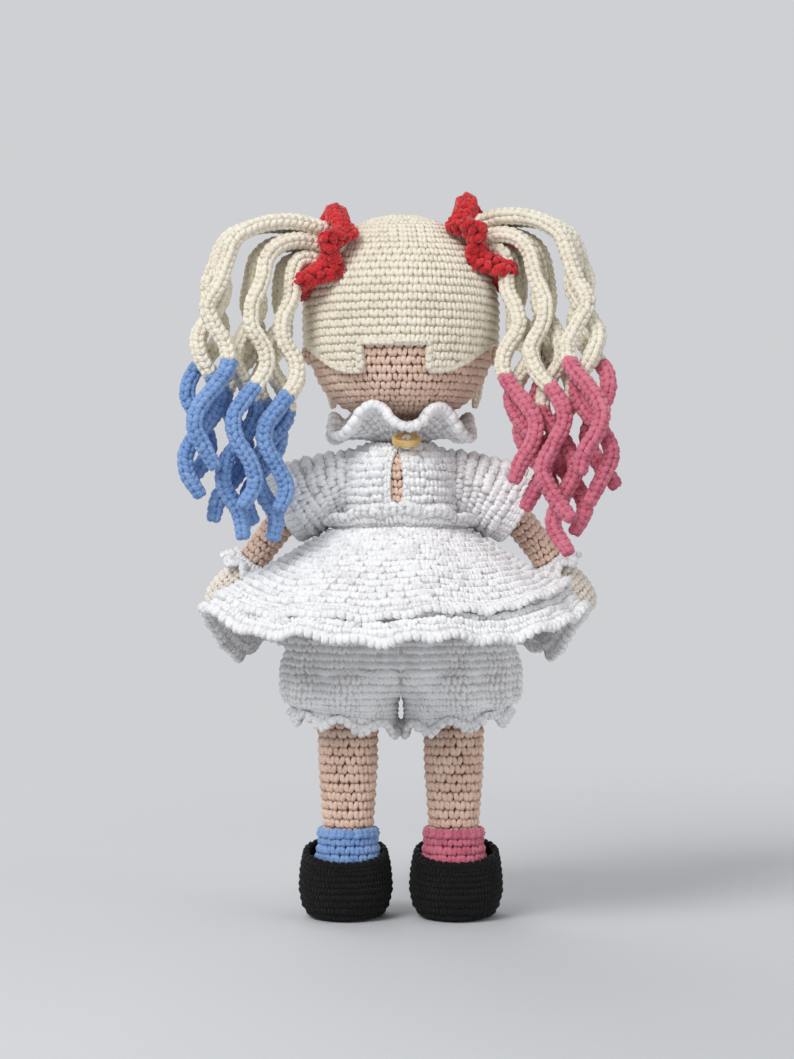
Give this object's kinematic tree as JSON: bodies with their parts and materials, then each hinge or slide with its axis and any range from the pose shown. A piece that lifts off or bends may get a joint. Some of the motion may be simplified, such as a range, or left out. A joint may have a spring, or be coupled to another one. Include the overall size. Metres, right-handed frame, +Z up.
{
  "type": "crocheted doll",
  "caption": "Standing crocheted doll with wavy pigtails, ruffled collar, short dress with a gathered skirt, bloomers, socks and slippers.",
  "frame": {"origin": "on the floor, midway between the slippers and under the middle of the whole doll", "axes": "+Z up, the doll looks towards -Y, and its left is at +X"},
  "size_m": [0.1646, 0.1409, 0.275],
  "materials": {
    "skin": "crocheted, matte",
    "hair": "crocheted, matte",
    "white": "crocheted, matte",
    "red": "crocheted, matte",
    "blue": "crocheted, matte",
    "pink": "crocheted, matte",
    "black": "crocheted, matte",
    "cream": "crocheted, matte",
    "wood": "smooth",
    "eye": "glossy",
    "board": "plain"
  },
  "bodies": {
    "torso": {"torso": "skin", "neck_rod": "wood", "bodice": "white", "collar": "white", "neck_button": "wood", "button_loop": "white", "waist_frill": "white", "skirt": "white", "skirt_frill": "white", "hem_frill": "white", "bloomers": "white", "left_leg": "skin", "left_sock": "blue", "left_shoe": "black", "left_insole": "board", "left_bloomer_frill": "white", "right_leg": "skin", "right_sock": "pink", "right_shoe": "black", "right_insole": "board", "right_bloomer_frill": "white"},
    "head": {"head": "skin", "hair_cap": "hair", "left_ear": "skin", "left_eye": "eye", "left_front_lock": "hair", "right_ear": "skin", "right_eye": "eye", "right_front_lock": "hair"},
    "left_pigtail": {"left_scrunchie": "red", "left_curl_1": "hair", "left_curl_2": "hair", "left_curl_3": "hair", "left_curl_4": "hair", "left_curl_5": "hair", "left_curl_6": "hair", "left_curl_7": "hair", "left_curl_8": "hair", "left_curl_9": "hair"},
    "left_arm": {"left_arm": "skin", "left_mitten": "cream", "left_cuff_frill": "white", "left_sleeve": "white"},
    "right_pigtail": {"right_scrunchie": "red", "right_curl_1": "hair", "right_curl_2": "hair", "right_curl_3": "hair", "right_curl_4": "hair", "right_curl_5": "hair", "right_curl_6": "hair", "right_curl_7": "hair", "right_curl_8": "hair", "right_curl_9": "hair"},
    "right_arm": {"right_arm": "skin", "right_mitten": "cream", "right_cuff_frill": "white", "right_sleeve": "white"}
  },
  "joints": [
    {"name": "head_turn", "type": "hinge", "parent": "torso", "child": "head", "pos_m": [0, 0, 0.2321], "axis": [0, 0, 1], "range_deg": [-8, 8]},
    {"name": "left_pigtail_swing", "type": "hinge", "parent": "head", "child": "left_pigtail", "pos_m": [0.02797, 0.0138, 0.25433], "axis": [0.7304, 0.3602, 0.5803], "range_deg": [-3, 25]},
    {"name": "right_pigtail_swing", "type": "hinge", "parent": "head", "child": "right_pigtail", "pos_m": [-0.0283, 0.00535, 0.25734], "axis": [0.739, -0.1398, -0.6591], "range_deg": [-3, 25]},
    {"name": "left_arm_swing", "type": "hinge", "parent": "torso", "child": "left_arm", "pos_m": [0.0181, 0, 0.1728], "axis": [-1, 0, 0], "range_deg": [0, 60]},
    {"name": "right_arm_swing", "type": "hinge", "parent": "torso", "child": "right_arm", "pos_m": [-0.0181, 0, 0.1728], "axis": [-1, 0, 0], "range_deg": [0, 60]}
  ]
}
